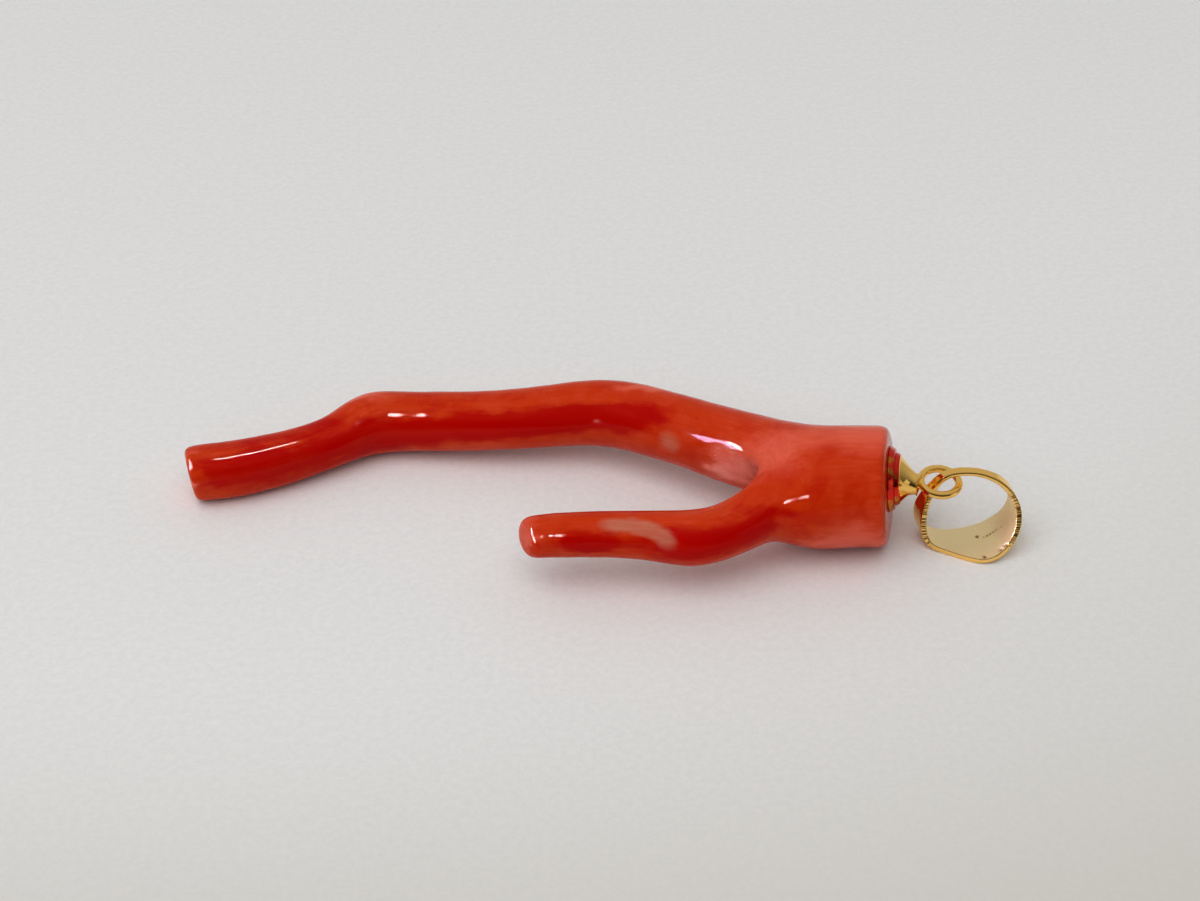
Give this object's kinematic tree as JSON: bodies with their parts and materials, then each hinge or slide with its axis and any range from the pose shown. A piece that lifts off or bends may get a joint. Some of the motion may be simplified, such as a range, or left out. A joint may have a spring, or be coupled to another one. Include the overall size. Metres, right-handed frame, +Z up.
{
  "type": "red coral branch",
  "caption": "Forked branch of polished red coral lying on its side, sawn flat at the stub end and fitted with a stepped gold cap, wire eye ring and tapered bail.",
  "frame": {"origin": "on the table under the middle of the whole piece's box", "axes": "+X along the piece from the long branch's tip towards the gold bail, +Y towards the side of the long branch, +Z up from the table"},
  "size_m": [0.059, 0.0193, 0.0086],
  "materials": {
    "coral": "polished",
    "gold": "polished"
  },
  "bodies": {
    "pendant": {"coral_trunk": "coral", "coral_long_branch": "coral", "coral_short_branch": "coral", "cap": "gold", "eye_ring": "gold"},
    "bail": {"bail": "gold"}
  },
  "joints": [
    {"name": "bail_swing", "type": "hinge", "parent": "pendant", "child": "bail", "pos_m": [0.02482, -0.00271, 0.00477], "axis": [0, -1, 0], "range_deg": [-12, 135]}
  ]
}
